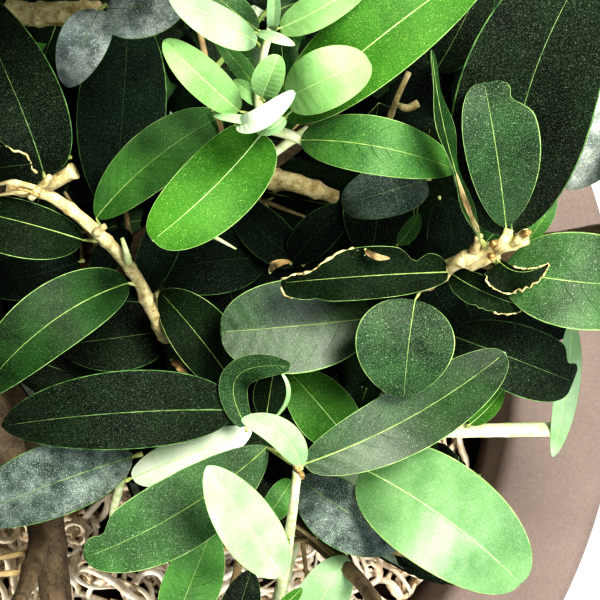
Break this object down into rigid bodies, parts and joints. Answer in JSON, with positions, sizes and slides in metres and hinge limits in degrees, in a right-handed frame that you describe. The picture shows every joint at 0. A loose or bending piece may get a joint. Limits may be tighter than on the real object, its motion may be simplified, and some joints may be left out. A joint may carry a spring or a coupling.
{
  "type": "potted olive tree",
  "caption": "Young olive grown as a low, open, many-boughed bush, in a round tapered planter with a broad flat rim, the soil dressed with curly moss.",
  "frame": {"origin": "middle of the planter's flat underside", "axes": "+Z up along the planter's axis, +X to the right and +Y up in the picture, which looks straight down"},
  "size_m": [0.4404, 0.4697, 0.7539],
  "materials": {
    "pot": "moulded fibre-filled resin, matt taupe grey with a fine stony grain",
    "soil": "damp dark potting compost",
    "moss": "dry curly decorative moss, cream to tan strands",
    "bark": "thin grey-tan bark with fine cracks and pores",
    "leaf": "leathery leaf, dark green with pale specks above and silvery below, young leaves bright"
  },
  "bodies": {
    "root": {"pot": "pot", "soil": "soil", "moss": "moss", "trunk": "bark", "foliage_crown_top": "leaf", "bough_high_back": "bark", "foliage_high_back": "leaf", "bough_high_left": "bark", "foliage_high_left": "leaf", "bough_high_front": "bark", "foliage_high_front": "leaf", "bough_low_back": "bark", "foliage_low_back": "leaf", "bough_low_back_left": "bark", "foliage_low_back_left": "leaf", "bough_low_left": "bark", "foliage_low_left": "leaf", "bough_low_front_left": "bark", "foliage_low_front_left": "leaf", "bough_low_front": "bark", "foliage_low_front": "leaf", "bough_near_left": "bark", "foliage_near_left": "leaf", "bough_near_back": "bark", "foliage_near_back": "leaf", "bough_near_right": "bark", "foliage_near_right": "leaf", "bough_near_front": "bark", "foliage_near_front": "leaf", "bough_near_low": "bark", "foliage_near_low": "leaf"}
  },
  "joints": []
}
